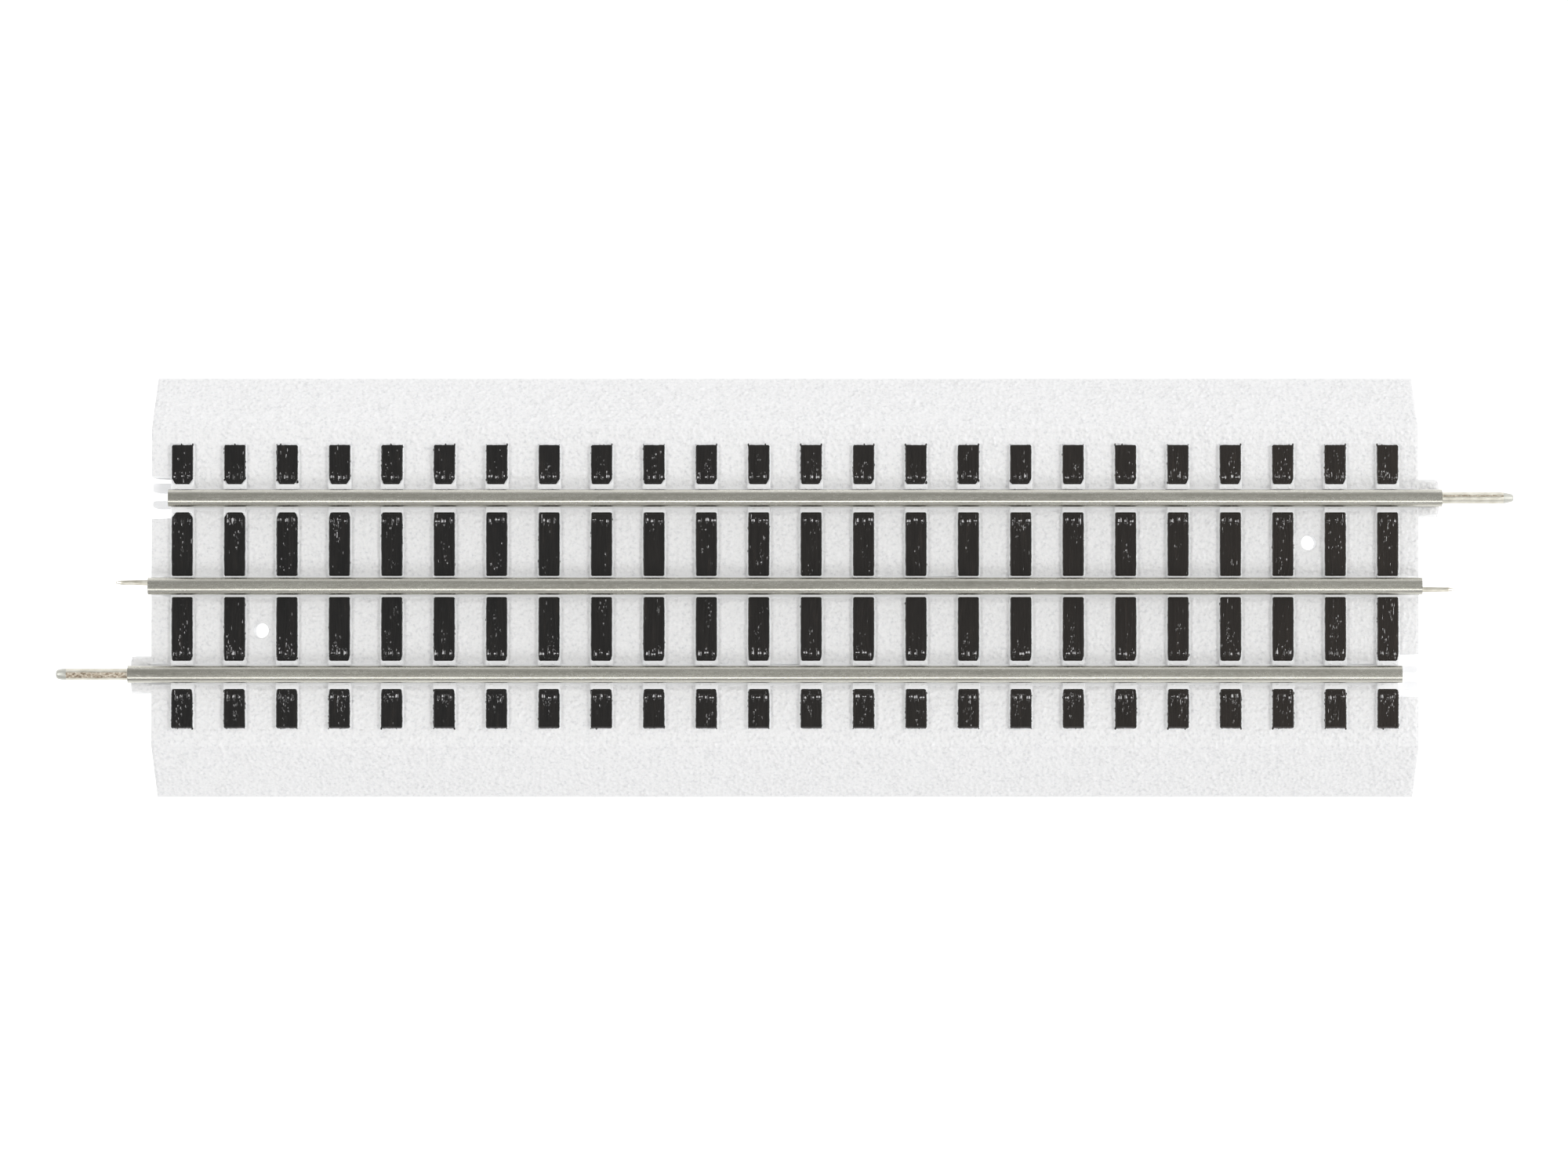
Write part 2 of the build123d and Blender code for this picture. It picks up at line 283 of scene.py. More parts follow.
def closeBelow(bm, sink, bendY=None):
    rim = [e for e in bm.edges if e.is_boundary]
    out = bmesh.ops.extrude_edge_only(bm, edges=rim)["geom"]
    for v in [g for g in out if isinstance(g, bmesh.types.BMVert)]:
        sink(v)
    lower = [e for e in bm.edges if e.is_boundary]
    if bendY is None:
        bmesh.ops.triangle_fill(bm, edges=lower, use_beauty=False)
    else:                                    # two flat faces that meet where the surface bends
        rimVerts = {v for e in lower for v in e.verts}
        ends = [
            min(rimVerts, key=lambda v: 10 * abs(v.co.x - end * endX) + abs(v.co.y - bendY))
            for end in (-1, 1)
        ]
        bmesh.ops.edgenet_fill(bm, edges=lower + [bm.edges.new(ends)])
    bmesh.ops.recalc_face_normals(bm, faces=bm.faces)


# ballast: moulded grains on the deck and the shoulders
ballast = {
    "cell": 0.24,            # spacing of the grid that carries the grains
    "grain": 0.85,           # size of one grain, and how high it stands
    "rise": 0.28,
    "small": 0.45,           # the finer grains on top of them
    "smallRise": 0.08,
    "sink": 0.55,            # how deep each patch is set into the moulding
    "skin": 0.03,            # lowest height of a patch above the moulding
    "railStrip": 2.4,        # half width of the smooth strip under a rail
    "laneStart": 2.1,        # where a lane of ballast starts, from the middle of the rail
    "laneLap": 0.3,          # how far an outer lane runs in under the shoulder's patch
    "tieEndGap": 0.2,
    "edgeFade": 0.6,         # the grains sink to nothing over this much of an edge
    "footFade": 0.9,
    "padRadius": 2.95,       # left free round a screw hole
    "padSide": 2.85,         # and how far along the track that hole in the ballast may reach
    "bayGap": 2.22,          # half width left free for a tie
    "bayFade": 0.7,
    "socket": (4.3, 4.25),   # length and half width left free over a socket
    "crest": 31.8,           # where the deck turns down into the shoulder
    "lip": 0.8,              # height of the shoulder's foot
}
tieEndY = tieHigh.y + ballast["tieEndGap"]


def grainHeight(p):
    near = noise.voronoi(p / ballast["grain"])[0]
    dome = max(0.0, 1 - (near[0] / 0.8) ** 2)
    crease = smoothStep(0.0, 0.30, near[1] - near[0])
    fine = noise.voronoi(p / ballast["small"] + Vector((7, 3, 1)))[0]
    patch = 0.75 + 0.6 * noise.noise(p * 0.5)
    height = ballast["rise"] * dome * (0.35 + 0.65 * crease) * patch
    return height + ballast["smallRise"] * max(0.0, 1 - fine[0] * 1.3)


def deckMask(x, y):
    ragged = 0.5 * noise.noise(Vector((x * 1.4, y * 1.4, 5.0)))
    mask = 1.0
    for railY in railYs:
        mask *= smoothStep(0.0, ballast["edgeFade"], abs(y - railY) - ballast["railStrip"] + ragged)
    for spot in holeSpots:
        away = math.hypot(x - spot.x, y - spot.y)
        mask *= smoothStep(0.0, 0.5, away - ballast["padRadius"])
    mask *= smoothStep(0.0, ballast["edgeFade"], endX - abs(x))
    fromTie = abs((x - tieXs[0] + tiePitch / 2) % tiePitch - tiePitch / 2)
    if abs(y) < tieEndY:
        mask *= 0.35 + 0.65 * smoothStep(0.0, ballast["bayFade"], fromTie - ballast["bayGap"])
    return mask


def fillGrid(bm, x0, x1, y0, y1):
    nx = max(2, round((x1 - x0) / ballast["cell"]))
    ny = max(2, round((y1 - y0) / ballast["cell"]))
    verts = bmesh.ops.create_grid(bm, x_segments=nx, y_segments=ny, size=0.5)["verts"]
    for v in verts:
        v.co.x = x0 + (v.co.x + 0.5) * (x1 - x0)
        v.co.y = y0 + (v.co.y + 0.5) * (y1 - y0)
    return verts


slopeFoot = Vector((0, bedHigh.y, ballast["lip"]))
slopeCrest = Vector((0, ballast["crest"], deckTop))
slopeNormal = Vector((0, slopeCrest.z - slopeFoot.z, slopeFoot.y - slopeCrest.y)).normalized()


def cutSockets(bm):
    long, half = ballast["socket"]
    for spot in forkSpots:
        side = math.copysign(1, spot.x)
        faces = []
        for f in bm.faces:
            middle = f.calc_center_median()
            if abs(middle.y - spot.y) < half and middle.x * side > endX - long:
                faces.append(f)
        bmesh.ops.delete(bm, geom=faces, context="FACES")


def cutPads(bm):
    for spot in holeSpots:
        radius = ballast["padRadius"]
        inside = [f for f in bm.faces if (f.calc_center_median().xy - spot.xy).length < radius - 0.1]
        bmesh.ops.delete(bm, geom=inside, context="FACES")
        for v in bm.verts:         # pull the stepped rim onto a circle
            away = v.co.xy - spot.xy
            if v.is_boundary and 0 < away.length < radius + 0.25 and abs(away.x) < ballast["padSide"]:
                v.co.xy = spot.xy + away.normalized() * radius


def makeDeckLane(name, y0, y1):
    bm = bmesh.new()
    edges = [-endX] + [x + s * ballast["bayGap"] for x in tieXs for s in (-1, 1)] + [endX]
    for x0, x1 in zip(edges[::2], edges[1::2]):
        fillGrid(bm, x0, x1, y0, y1)
    cutSockets(bm)
    cutPads(bm)
    for v in bm.verts:
        x, y = v.co.xy
        rise = ballast["skin"] + grainHeight(Vector((x, y, deckTop))) * deckMask(x, y)
        v.co.z = deckTop + rise

    def sink(v):
        v.co.z = deckTop - ballast["sink"]

    closeBelow(bm, sink)
    finishPiece(bm, name, [snowPlastic], "roadbed", 70)


def makeShoulder(name, side):
    bm = bmesh.new()
    run = (slopeFoot - slopeCrest).length
    flat = ballast["crest"] - tieEndY
    fillGrid(bm, -endX, endX, -flat, run)
    bm.verts.index_update()
    along = (slopeFoot - slopeCrest).normalized()
    lows = {}
    for v in bm.verts:
        x, down = v.co.xy
        base = slopeCrest + (along * down if down > 0 else Vector((0, down, 0)))
        up = Vector((0, 0, 1)).lerp(slopeNormal, smoothStep(-1.0, 1.0, down)).normalized()
        base = Vector((x, side * base.y, base.z))
        up.y *= side
        fade = smoothStep(0, ballast["footFade"], run - down)
        fade *= smoothStep(-0.2, ballast["edgeFade"], endX - abs(x))
        v.co = base + up * (ballast["skin"] + grainHeight(base)) * fade
        lows[v.index] = base - up * ballast["sink"]
    under = {tuple(v.co): lows[v.index] for v in bm.verts if v.is_boundary}

    def sink(v):
        v.co = under[tuple(v.co)]

    closeBelow(bm, sink, side * (ballast["crest"] - 0.2))
    finishPiece(bm, name, [snowPlastic], "roadbed", 70)


laneStart = ballast["laneStart"]
laneEnd = tieEndY + ballast["laneLap"]
makeDeckLane("ballastNorthOuter", runningY + laneStart, laneEnd)
makeDeckLane("ballastNorthInner", laneStart, runningY - laneStart)
makeDeckLane("ballastSouthInner", laneStart - runningY, -laneStart)
makeDeckLane("ballastSouthOuter", -laneEnd, -runningY - laneStart)
makeShoulder("shoulderNorth", 1)
makeShoulder("shoulderSouth", -1)
print("ballast made")


# the moulding under the ballast: walls, deck, ribs, tongues and forks
def makeMoulding():
    bm = bmesh.new()
    bm.from_mesh(frame["nodes"]["roadbed"].data)
    bmesh.ops.scale(bm, vec=(1 / mm, 1 / mm, 1 / mm), verts=bm.verts)
    bmesh.ops.remove_doubles(bm, verts=bm.verts, dist=0.001)
    bmesh.ops.dissolve_limit(bm, angle_limit=math.radians(1), verts=bm.verts, edges=bm.edges)
    finishPiece(bm, "roadbedMoulding", [smoothPlastic], "roadbed", 30)


# the crust on the two tongues, a little inside their outline
tongue = {
    "length": 4.08, "halfWidth": 3.78, "start": 0.4, "round": 1.0, "taper": 0.09,
    "taperLength": 4.1, "edge": 0.5, "edgeDrop": 0.3, "lift": 0.04,
}


def makeTongueCrusts():
    bm = bmesh.new()
    for spot in forkSpots:
        side = 1 if spot.x > 0 else -1
        middle = -spot.y
        x0, x1 = endX - tongue["start"], endX + tongue["length"]
        half, radius = tongue["halfWidth"], tongue["round"]
        for v in fillGrid(bm, x0, x1, middle - half, middle + half):
            x, y = v.co.xy
            toEdge = min(x1 - x, half - abs(y - middle))
            corner = Vector((x - (x1 - radius), abs(y - middle) - (half - radius)))
            if min(corner) > 0 and corner.length > radius:
                onArc = corner.normalized() * radius
                v.co.x = x1 - radius + onArc.x
                v.co.y = y + math.copysign(onArc.y - corner.y, y - middle)
            fade = smoothStep(0.0, tongue["edge"], toEdge)
            rise = tongue["lift"] - tongue["edgeDrop"] * (1 - fade) ** 2
            rise += grainHeight(Vector((x, y, deckTop))) * (0.4 + 0.6 * fade)
            narrow = 1 - tongue["taper"] * smoothStep(0.0, tongue["taperLength"], x - endX)
            v.co = Vector((side * v.co.x, middle + (v.co.y - middle) * narrow, deckTop + rise))

    def sink(v):
        v.co.z = deckTop - ballast["sink"]

    closeBelow(bm, sink)
    finishPiece(bm, "tongueCrusts", [snowPlastic], "roadbed", 70)


# the shallow round pad at each screw hole
pad = {"bore": 1.5, "lip": 0.14, "flat": 2.7, "edge": 3.0, "depth": 0.08, "set": 0.5, "steps": 64}


def makeHolePads():
    bm = bmesh.new()
    for spot in holeSpots:
        top = deckTop - pad["depth"]
        steps = [
            (pad["bore"], top - pad["set"]), (pad["bore"], top - pad["lip"]),
            (pad["bore"] + 0.05, top - 0.04), (pad["bore"] + pad["lip"], top),
            (pad["flat"], top), (pad["edge"] - 0.05, deckTop + 0.02),
            (pad["edge"], deckTop), (pad["edge"], top - pad["set"]),
        ]
        verts = [bm.verts.new((spot.x + r, spot.y, z)) for r, z in steps]
        edges = [bm.edges.new(pair) for pair in zip(verts, verts[1:] + verts[:1])]
        bmesh.ops.spin(
            bm, geom=verts + edges, cent=(spot.x, spot.y, 0), axis=(0, 0, 1),
            angle=2 * math.pi, steps=pad["steps"], use_merge=True,
        )
    bmesh.ops.recalc_face_normals(bm, faces=bm.faces)
    finishPiece(bm, "holePads", [snowPlastic], "roadbed", 40)


makeMoulding()
makeTongueCrusts()
makeHolePads()
print("moulding made")

# ties: white bodies with a grained black face on each stretch between the rails
tieBody = {
    "spare": 0.16,           # how far the body stands out beside its black faces
    "under": 0.40,           # and how far it stays below them
    "sink": 0.4,             # how deep it is set into the deck
    "bevel": 0.18,
    "plateReach": {-runningY: 2.86, 0.0: 2.1, runningY: 2.86},   # half length of the plate under each rail
    "plateSink": 0.3,
    "plateInset": 0.15,
    "plateUnder": 0.1,
    "plateBevel": 0.2,
}
spike = {"wide": 0.7, "deep": 0.42, "tall": 0.07, "shift": 1.15, "fromRail": 2.05, "bevel": 0.14}


def roundedBlock(bm, low, high, bevel, segments=2):
    made = bmesh.ops.create_cube(bm, size=1.0)["verts"]
    for v in made:
        v.co = Vector([low[i] + (v.co[i] + 0.5) * (high[i] - low[i]) for i in range(3)])
    edges = list({e for v in made for e in v.link_edges if max(p.co.z for p in e.verts) > low[2] + 1e-6})
    bmesh.ops.bevel(
        bm, geom=edges, offset=bevel, offset_type="OFFSET", affect="EDGES",
        segments=segments, profile=0.5, material=-1,
    )


def makeTieBodies():
    bm = bmesh.new()
    half = tieWidth / 2 + tieBody["spare"]
    plateHalf = tieWidth / 2 - tieBody["plateInset"]
    for x in tieXs:
        roundedBlock(
            bm, (x - half, tieLow.y - 0.05, deckTop - tieBody["sink"]),
            (x + half, tieHigh.y + 0.05, tieTop - tieBody["under"]), tieBody["bevel"],
        )
        for railY, reach in tieBody["plateReach"].items():
            roundedBlock(
                bm, (x - plateHalf, railY - reach, deckTop - tieBody["plateSink"]),
                (x + plateHalf, railY + reach, tieTop - tieBody["plateUnder"]), tieBody["plateBevel"],
            )
    finishPiece(bm, "tieBodies", [smoothPlastic], "roadbed", 40)


def makeSpikes():
    bm = bmesh.new()
    half = Vector((spike["wide"] / 2, spike["deep"] / 2))
    signs = (-1, 1)
    corners = [(rail * runningY, side, end) for rail in signs for side in signs for end in signs]
    for x in tieXs:
        for railY, side, end in corners:
            cx = x + end * spike["shift"] + random.uniform(-0.3, 0.3)
            cy = railY + side * spike["fromRail"] + random.uniform(-0.12, 0.12)
            roundedBlock(
                bm, (cx - half.x, cy - half.y, tieTop - tieBody["plateUnder"]),
                (cx + half.x, cy + half.y, tieTop + spike["tall"]), spike["bevel"],
            )
    finishPiece(bm, "spikeHeads", [smoothPlastic], "roadbed", 60)


makeTieBodies()
makeSpikes()

# the black faces: where they start and end, from the middle of the track
tieSpan = {"inner": (2.1, 14.9), "outer": (20.5, 28.4), "knotChance": 0.22}
# one face: its grid, its edges and corners, and its grain
tieFace = {
    "columns": 60, "rowLength": 0.16,
    "under": 0.06,             # how far it lies below the tie's top, and how deep its sides reach
    "skirt": 0.42,
    "edgeDrop": 0.06, "edgeWidth": 0.09,
    "cutLength": 1.25,         # the corners next to a rail are cut off over this length
    "cornerRound": 0.28, "cornerLength": 0.35,
    "wander": 0.05, "bulge": 0.05, "bulgeLength": 3.0,
    "grain": 0.03, "pit": 0.03,
    "plateHalf": 1.35, "plateStart": 0.30, "plateEnd": 1.05, "plateRise": 0.035,
}
# drops of paint: ridges, with their half width and half length by kind
drop = {
    "slope": (0.38, 0.45),
    "lean": 1.3,               # how much steeper one flank may be than the other
    "loose": ((0.14, 0.28), (0.14, 0.38)),
    "railEnd": ((0.42, 0.62), (0.35, 0.62)),
    "trail": ((0.16, 0.26), (0.2, 0.5)),
    "places": (-1.30, 0.0, 1.28),      # across the tie, near the rail
    "fromEnd": (1.40, 1.75),
}


def knotLift(x, y, knot):
    kx, ky, size = knot
    far = math.hypot((x - kx) / size, (y - ky) / (size * 2.4))
    return far, math.exp(-far * far * 0.9)


def grainLift(x, y, seed, knots):
    shift = 0.55 * noise.noise(Vector((x * 0.35, y * 0.16, seed)))
    lift = 0.0
    for knot in knots:
        far, pull = knotLift(x, y, knot)
        shift += (1 if x > knot[0] else -1) * 0.5 * pull
        lift += 1.2 * pull * math.cos(far * 9)
    across = (x + shift) * 2.4
    ridge = 1 - abs(2 * noise.noise(Vector((across, y * 0.08, seed * 1.7))))
    fine = noise.noise(Vector((across * 2.6, y * 0.3, seed + 4)))
    pits = noise.noise(Vector((x * 2.6, y * 1.1, seed + 9)))
    return tieFace["grain"] * (ridge ** 3 + 0.4 * fine + lift) - tieFace["pit"] * smoothStep(0.25, 0.6, pits)


def addDrop(drops, x, y, kind):
    wide, long = [random.uniform(*size) for size in drop[kind]]
    slope = random.uniform(*drop["slope"])
    lean = random.choice((0.0, drop["lean"], -drop["lean"]))
    drops.append((x, y, wide, long, slope, lean))


def scatterDrops(y0, y1, railEnd):
    drops = []
    for _ in range(random.choice((1, 1, 2, 2))):
        cx, cy = random.uniform(-0.9, 0.9), random.uniform(y0 + 1.8, y1 - 1.8)
        for _ in range(random.randint(5, 13)):
            x, y = random.gauss(cx, 0.45), random.gauss(cy, 1.5)
            addDrop(drops, x, y, "loose")
    end = y1 if railEnd > 0 else y0
    for place in drop["places"]:
        x = place + random.uniform(-0.2, 0.2)
        y = end - railEnd * random.uniform(*drop["fromEnd"])
        addDrop(drops, x, y, "railEnd")
        y -= railEnd * random.uniform(0.5, 0.9)
        addDrop(drops, x + random.uniform(-0.25, 0.25), y, "trail")
    return drops


def dropLift(x, y, drops):
    lift = 0.0
    for dropX, dropY, wide, long, slope, lean in drops:
        across, along = x - dropX, (y - dropY) / long
        if abs(across) < wide and abs(along) < 1:
            reach = wide * (1 - 0.15 * (along + 1)) * (1 - along ** 6)
            steeper = 1 + abs(lean) * (across * lean > 0)
            lift = max(lift, slope * (reach - abs(across) * steeper))
    return lift


def plateLift(x, fromEnd):
    inX = 1 - smoothStep(tieFace["plateHalf"], tieFace["plateHalf"] + 0.2, abs(x))
    start, end = tieFace["plateStart"], tieFace["plateEnd"]
    inY = smoothStep(start - 0.15, start + 0.1, fromEnd) * (1 - smoothStep(end, end + 0.22, fromEnd))
    return tieFace["plateRise"] * inX * inY


def isOuter(y0, y1):
    return min(abs(y0), abs(y1)) > tieSpan["inner"][1]


def makeTieFace(bm, centreX, y0, y1, railEnd, cuts, rough, seed, knots):
    drops = scatterDrops(y0, y1, railEnd)
    rows = round((y1 - y0) / tieFace["rowLength"])
    half, cutLength = tieWidth / 2, tieFace["cutLength"]
    grid = bmesh.ops.create_grid(bm, x_segments=tieFace["columns"], y_segments=rows, size=0.5)
    for v in grid["verts"]:
        u, y = v.co.x * 2, y0 + (v.co.y + 0.5) * (y1 - y0)
        fromEnd = (y1 - y) if railEnd > 0 else (y - y0)
        endMost = min(y - y0, y1 - y)
        cut = cuts[0 if u < 0 else 1] * (1 - smoothStep(cutLength * 0.15, cutLength, fromEnd))
        cornerRound = tieFace["cornerRound"] * (1 - smoothStep(0, tieFace["cornerLength"], endMost)) ** 2
        wander = tieFace["wander"] * noise.noise(Vector((seed, y * 0.8, math.copysign(3, u))))
        wander += rough * noise.noise(Vector((seed + 2, y * 4.0, math.copysign(5, u))))
        x = u * (half - cut - cornerRound + wander)
        if not (isOuter(y0, y1) and fromEnd > 5):      # an outer face stays square at its far end
            x -= u * tieFace["bulge"] * (1 - smoothStep(0, tieFace["bulgeLength"], endMost))
        if endMost < 1e-4:
            y += rough * 1.2 * noise.noise(Vector((x * 3.0, seed, y0)))
        toEdge = min((1 - abs(u)) * half, endMost)
        edgeDrop = tieFace["edgeDrop"] * (1 - smoothStep(0, tieFace["edgeWidth"], toEdge)) ** 1.5
        lift = dropLift(x, y, drops)
        grain = grainLift(x, y, seed, knots) * (1 - 0.9 * smoothStep(0.0, 0.04, lift))
        z = tieTop - tieFace["under"] - edgeDrop + plateLift(x, fromEnd)
        z += grain * smoothStep(0.05, 0.35, toEdge) + lift * smoothStep(0.05, 0.3, toEdge)
        v.co = Vector((centreX + x, y, z))


def addBlob(bm, x, y, z, size):
    made = bmesh.ops.create_icosphere(bm, subdivisions=1, radius=size)["verts"]
    for v in made:
        v.co = Vector((x + v.co.x * random.uniform(0.8, 1.2), y + v.co.y * 1.6, z + v.co.z * 0.6))


# blobs of paint along the edges of the faces, and at the corners of the outer ends
blob = {
    "messy": (0.1, 0.5, 1.0, 2.2), "count": (70, 150), "size": (0.1, 0.26), "depth": 0.25,
    "endSizes": (0.08, 0.12, 0.2), "endDepth": 0.32, "corners": (-2.1, 2.05),
}


def tieStretches(index):
    east = index / (tieCount - 1)
    inner, outer = tieSpan["inner"], tieSpan["outer"]
    chamfer = max(0.0, 0.62 - 3.0 * east)      # the west ties have cut corners, the east ones don't
    return [                                   # start, end, side of the rail, corner cuts, raggedness
        (outer[0], outer[1], -1, (max(0.12, 0.55 - 1.6 * east), 0.58 - 0.25 * east), 0.05),
        (inner[0], inner[1], 1, (chamfer, chamfer * 0.9), 0.02),
        (-inner[1], -inner[0], -1, (0.08, 0.22), 0.03),
        (-outer[1], -outer[0], 1, (0.08, 0.10), 0.08),
    ]


def addBlobs(bm, centreX, y0, y1, rough):
    messy = random.choice(blob["messy"])
    for _ in range(round(rough * messy * random.uniform(*blob["count"]))):
        side = random.choice((-1, 1, -1))
        size = random.uniform(*blob["size"])
        y = random.uniform(y0 + 0.3, y1 - 0.3)
        addBlob(bm, centreX + side * (tieWidth / 2 - size * 0.4), y, tieTop - blob["depth"], size)
    if isOuter(y0, y1):
        outerEnd = y1 if y1 > 0 else y0
        west, east = blob["corners"]
        for x in random.sample((west, random.uniform(-1.6, 1.6), east), 2):
            size = random.choice(blob["endSizes"])
            y = outerEnd + math.copysign(size * 0.1, outerEnd)
            addBlob(bm, centreX + x, y, tieTop - blob["endDepth"], size)


def makeTie(index, centreX):
    bm = bmesh.new()
    stretches = tieStretches(index)
    for number, (y0, y1, railEnd, cuts, rough) in enumerate(stretches):
        knots = []
        if random.random() < tieSpan["knotChance"]:
            x, y = random.uniform(-0.9, 0.9), random.uniform(y0 + 2.5, y1 - 2.5)
            knots.append((x, y, random.uniform(0.45, 0.8)))
        makeTieFace(bm, centreX, y0, y1, railEnd, cuts, rough, index * 7.31 + number * 2.17, knots)

    def sink(v):
        v.co.z = tieTop - tieFace["under"] - tieFace["skirt"] - tieFace["edgeDrop"]

    closeBelow(bm, sink)
    for y0, y1, _, _, rough in stretches:
        addBlobs(bm, centreX, y0, y1, rough)
    finishPiece(bm, f"tie{index + 1:02d}", [tieBlack], f"tie_{index + 1:02d}", 50)


for index, centreX in enumerate(tieXs):
    makeTie(index, centreX)
print("ties made")

# rails: folded sheet with a hollow head
railShape = {
    "headWidth": 3.4, "headHeight": 3.2, "topRound": 1.2, "lowRound": 0.8, "sheet": 0.4, "footWidth": 3.3,
    "step": 2.5, "wave": 0.004, "tabLength": 4.0, "tabFold": 2.6, "fold": 0.8,
}


def roundCorners(bm, verts, radius, segments):
    bmesh.ops.bevel(
        bm, geom=verts, offset=radius, offset_type="OFFSET", affect="VERTICES",
        segments=segments, profile=0.5, material=-1,
    )


def nearest(bm, places):
    return [min(bm.verts, key=lambda v: (v.co - Vector(p)).length) for p in places]


def outlineFace(bm, points, x):
    return bm.faces.new([bm.verts.new((x, y, z)) for y, z in points])


def makeRailEnd(bm, x, railY):
    half, foot, web = railShape["headWidth"] / 2, railShape["footWidth"] / 2, railShape["sheet"]
    low = railTop - railShape["headHeight"]
    footTop = tieTop + railShape["sheet"]
    right = [(foot, tieTop), (foot, footTop), (web, footTop), (web, low), (half, low), (half, railTop)]
    outlineFace(bm, right + [(-y, z) for y, z in reversed(right)], x)
    tops = nearest(bm, [(x, -half, railTop), (x, half, railTop)])
    lows = nearest(bm, [(x, -half, low), (x, half, low)])
    roundCorners(bm, tops, railShape["topRound"], 12)
    roundCorners(bm, lows, railShape["lowRound"], 5)
    inner = half - web
    top, bottom = railTop - web, low + web
    hollow = outlineFace(bm, [(-inner, bottom), (inner, bottom), (inner, top), (-inner, top)], x)
    corners = list(hollow.verts)
    roundCorners(bm, corners[2:], railShape["topRound"] - web, 6)
    roundCorners(bm, corners[:2], railShape["lowRound"] - web, 4)
    bmesh.ops.delete(bm, geom=list(bm.faces), context="FACES_ONLY")
    bmesh.ops.translate(bm, vec=(0, railY, 0), verts=bm.verts)
    rim = list(bm.edges)
    bmesh.ops.triangle_fill(bm, edges=rim, use_beauty=True)
    return rim


def makeRail(node, name, railY, tabs):
    bm = bmesh.new()
    low, high = boxOf(node)
    steps = round((high.x - low.x) / railShape["step"])
    rim = makeRailEnd(bm, low.x, railY)
    for _ in range(steps):
        out = bmesh.ops.extrude_edge_only(bm, edges=rim)["geom"]
        ends = [g for g in out if isinstance(g, bmesh.types.BMVert)]
        bmesh.ops.translate(bm, vec=((high.x - low.x) / steps, 0, 0), verts=ends)
        rim = [e for e in {e for v in ends for e in v.link_edges} if all(p in set(ends) for p in e.verts)]
    bmesh.ops.triangle_fill(bm, edges=rim, use_beauty=True)
    for v in bm.verts:
        if v.co.z > railTop - railShape["topRound"]:
            wave = noise.noise(Vector((v.co.x * 0.12, railY, (v.co.y - railY) * 0.5)))
            v.co.z -= railShape["wave"] * (1 + wave)
    bmesh.ops.recalc_face_normals(bm, faces=bm.faces)
    side = 1 if railY >= 0 else -1
    for x in tabs:
        under = low.z
        long, thick = railShape["tabLength"] / 2, railShape["sheet"]
        roundedBlock(bm, (x - long, railY - thick, under), (x + long, railY + thick, tieTop + 0.1), 0.06, 1)
        edge = sorted((railY - side * thick, railY + side * (railShape["tabFold"] - thick)))
        roundedBlock(bm, (x - long, edge[0], under), (x + long, edge[1], under + railShape["fold"]), 0.15, 2)
    finishPiece(bm, name, [railNickel], node, 30)


runningTabs = (-115.5, -63.0, 0.0, 63.0, 115.5)
centreTabs = (-94.5, -31.5, 31.5, 94.5)
makeRail("rail_north", "railNorth", runningY, runningTabs)
makeRail("rail_centre", "railCentre", 0.0, centreTabs)
makeRail("rail_south", "railSouth", -runningY, runningTabs)
print("rails made")

# pins: sheet rolled to a tube, with its seam on top and a bullet tip
pinShape = {
    "radius": 1.15, "held": 10.0, "heldStart": 0.6, "heldSize": (2.5, 2.3),
    "start": 1.0,              # how far inside the rail the tube starts
    "rings": 76, "around": 56, "grooveDepth": 0.28, "grooveEnd": (1.9, 3.2),
    "smoothTip": 2.0, "endRound": (0.25, 0.2),
}
# length of the drawn-in end and radius at its tip, then where the seam lies across the pin and its width
pinTips = {"pin_west": (1.9, 0.8), "pin_east": (3.0, 0.66)}
pinSeams = {"pin_west": (1.32, 1.0), "pin_east": (0.75, 0.24)}


